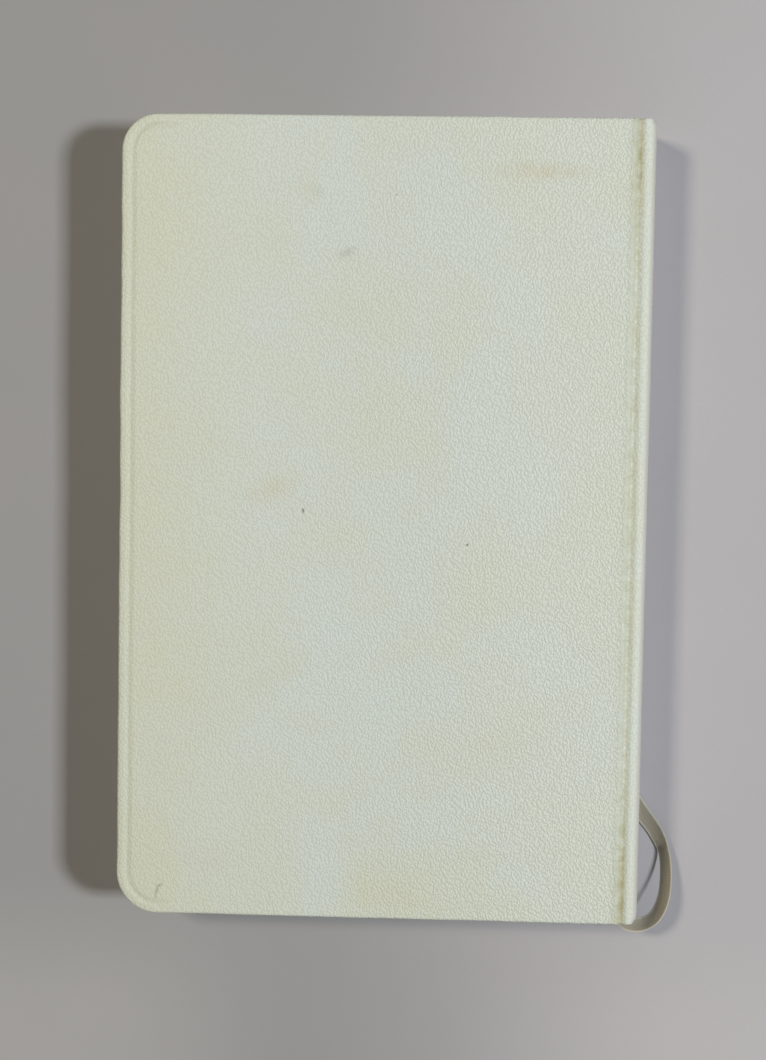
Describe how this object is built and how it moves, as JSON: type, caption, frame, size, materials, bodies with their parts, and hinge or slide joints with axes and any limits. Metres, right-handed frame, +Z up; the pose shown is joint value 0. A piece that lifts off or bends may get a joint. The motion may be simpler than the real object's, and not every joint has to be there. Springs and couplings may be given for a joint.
{
  "type": "pocket prayer book",
  "caption": "Pocket prayer book in white grained leather with a rounded back, grooved joints, gatherings sewn on tapes and a ribbon marker; covers and pages open.",
  "frame": {"origin": "on the resting face, under the middle of the closed covers (the ribbon marker is not counted)", "axes": "+X towards the spine, +Y towards the head of the pages, +Z up through the closed book, from the front cover it lies on to the back cover"},
  "size_m": [0.1036, 0.1488, 0.0145],
  "materials": {
    "cover_leather": "white pebble-grained leather, slightly green and yellowed with age, satin",
    "cover_board": "raw grey board",
    "endpaper": "matt cream endpaper",
    "page_paper": "thin cream printing paper, matt",
    "linen_tape": "woven linen tape",
    "mull_cloth": "open starched gauze",
    "lining_paper": "brown kraft paper",
    "headband_thread": "silk thread over a cord core",
    "ribbon_satin": "greyed beige satin ribbon"
  },
  "bodies": {
    "front_block": {"gathering_01": "page_paper", "gathering_02": "page_paper", "gathering_03": "page_paper", "sewing_tape_1": "linen_tape", "sewing_tape_2": "linen_tape", "sewing_tape_3": "linen_tape", "spine_mull": "mull_cloth", "spine_lining": "lining_paper", "spine_leather": "cover_leather", "headband_head": "headband_thread", "headband_tail": "headband_thread", "ribbon_marker": "ribbon_satin"},
    "front_cover": {"front_leather": "cover_leather", "front_board": "cover_board", "front_pastedown": "endpaper"},
    "front_endleaf": {"front_flyleaf": "endpaper"},
    "front_inner_block": {"gathering_04": "page_paper", "gathering_05": "page_paper", "gathering_06": "page_paper"},
    "leaves_1": {"leaf_group_1": "page_paper"},
    "leaves_2": {"leaf_group_2": "page_paper"},
    "leaves_3": {"leaf_group_3": "page_paper"},
    "leaves_4": {"leaf_group_4": "page_paper"},
    "back_inner_block": {"gathering_07": "page_paper", "gathering_08": "page_paper", "gathering_09": "page_paper"},
    "back_block": {"gathering_10": "page_paper", "gathering_11": "page_paper", "gathering_12": "page_paper"},
    "back_endleaf": {"back_flyleaf": "endpaper"},
    "back_cover": {"back_leather": "cover_leather", "back_board": "cover_board", "back_pastedown": "endpaper"}
  },
  "joints": [
    {"name": "front_cover_hinge", "type": "hinge", "parent": "front_block", "child": "front_cover", "pos_m": [0.0456, 0, 0.0012], "axis": [0, 1, 0], "range_deg": [-180, 0], "deforming": ["ribbon_marker"]},
    {"name": "front_flyleaf_turn", "type": "hinge", "parent": "front_block", "child": "front_endleaf", "pos_m": [0.0456, 0, 0.0012], "axis": [0, 1, 0], "range_deg": [-180, 0]},
    {"name": "front_back_flex", "type": "hinge", "parent": "front_block", "child": "front_inner_block", "pos_m": [0.04771, 0, 0.00408], "axis": [0, 1, 0], "range_deg": [0, 20]},
    {"name": "middle_opening", "type": "hinge", "parent": "front_inner_block", "child": "back_inner_block", "pos_m": [0.048, 0, 0.00725], "axis": [0, 1, 0], "range_deg": [0, 140], "deforming": ["spine_leather", "spine_lining", "spine_mull", "sewing_tape_1", "sewing_tape_2", "sewing_tape_3", "headband_head", "headband_tail"]},
    {"name": "rear_back_flex", "type": "hinge", "parent": "back_inner_block", "child": "back_block", "pos_m": [0.04771, 0, 0.01042], "axis": [0, 1, 0], "range_deg": [0, 20]},
    {"name": "back_cover_hinge", "type": "hinge", "parent": "back_block", "child": "back_cover", "pos_m": [0.0456, 0, 0.0133], "axis": [0, -1, 0], "range_deg": [-180, 0]},
    {"name": "back_flyleaf_turn", "type": "hinge", "parent": "back_block", "child": "back_endleaf", "pos_m": [0.0456, 0, 0.0133], "axis": [0, -1, 0], "range_deg": [-45, 0]},
    {"name": "leaf_turn_1", "type": "hinge", "parent": "front_inner_block", "child": "leaves_1", "pos_m": [0.048, 0, 0.00725], "axis": [0, 1, 0], "range_deg": [0, 20.1]},
    {"name": "leaf_turn_2", "type": "hinge", "parent": "front_inner_block", "child": "leaves_2", "pos_m": [0.048, 0, 0.00725], "axis": [0, 1, 0], "range_deg": [0, 53.7]},
    {"name": "leaf_turn_3", "type": "hinge", "parent": "front_inner_block", "child": "leaves_3", "pos_m": [0.048, 0, 0.00725], "axis": [0, 1, 0], "range_deg": [0, 87.3]},
    {"name": "leaf_turn_4", "type": "hinge", "parent": "front_inner_block", "child": "leaves_4", "pos_m": [0.048, 0, 0.00725], "axis": [0, 1, 0], "range_deg": [0, 120.9]}
  ],
  "couplings": [
    {"joint": "leaf_turn_1", "follows": "middle_opening", "ratio": 0.14},
    {"joint": "leaf_turn_2", "follows": "middle_opening", "ratio": 0.38},
    {"joint": "leaf_turn_3", "follows": "middle_opening", "ratio": 0.62},
    {"joint": "leaf_turn_4", "follows": "middle_opening", "ratio": 0.86},
    {"joint": "front_flyleaf_turn", "follows": "front_cover_hinge", "ratio": 1},
    {"joint": "back_flyleaf_turn", "follows": "back_cover_hinge", "ratio": 0.25}
  ]
}
